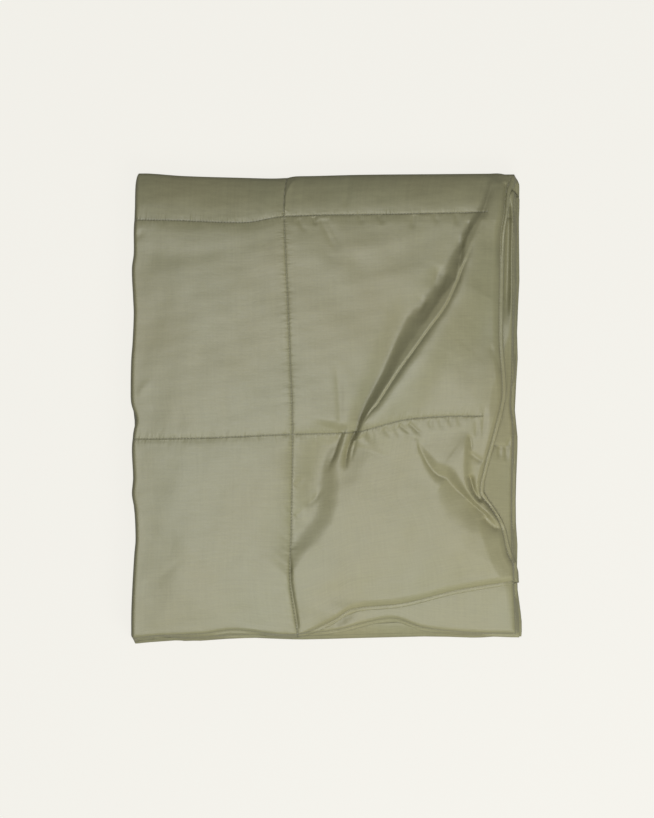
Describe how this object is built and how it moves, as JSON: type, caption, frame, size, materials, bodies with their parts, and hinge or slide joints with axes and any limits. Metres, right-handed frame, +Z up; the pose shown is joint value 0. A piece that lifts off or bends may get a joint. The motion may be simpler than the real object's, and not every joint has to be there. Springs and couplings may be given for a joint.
{
  "type": "throw blanket",
  "caption": "Low-loft quilted throw in plain sateen, folded in half twice and lying flat, with its upper open corner dragged back over the layers below.",
  "frame": {"origin": "under the middle of the folded block, on the surface that it lies on", "axes": "+Z up, +Y from the open front edges to the outer back fold, +X from the side folds to the open side"},
  "size_m": [0.6358, 0.7676, 0.0625],
  "materials": {
    "quilted_cloth": "olive green sateen with a soft sheen, sewn with matching thread"
  },
  "bodies": {
    "root": {"quilted_throw": "quilted_cloth"}
  },
  "joints": []
}
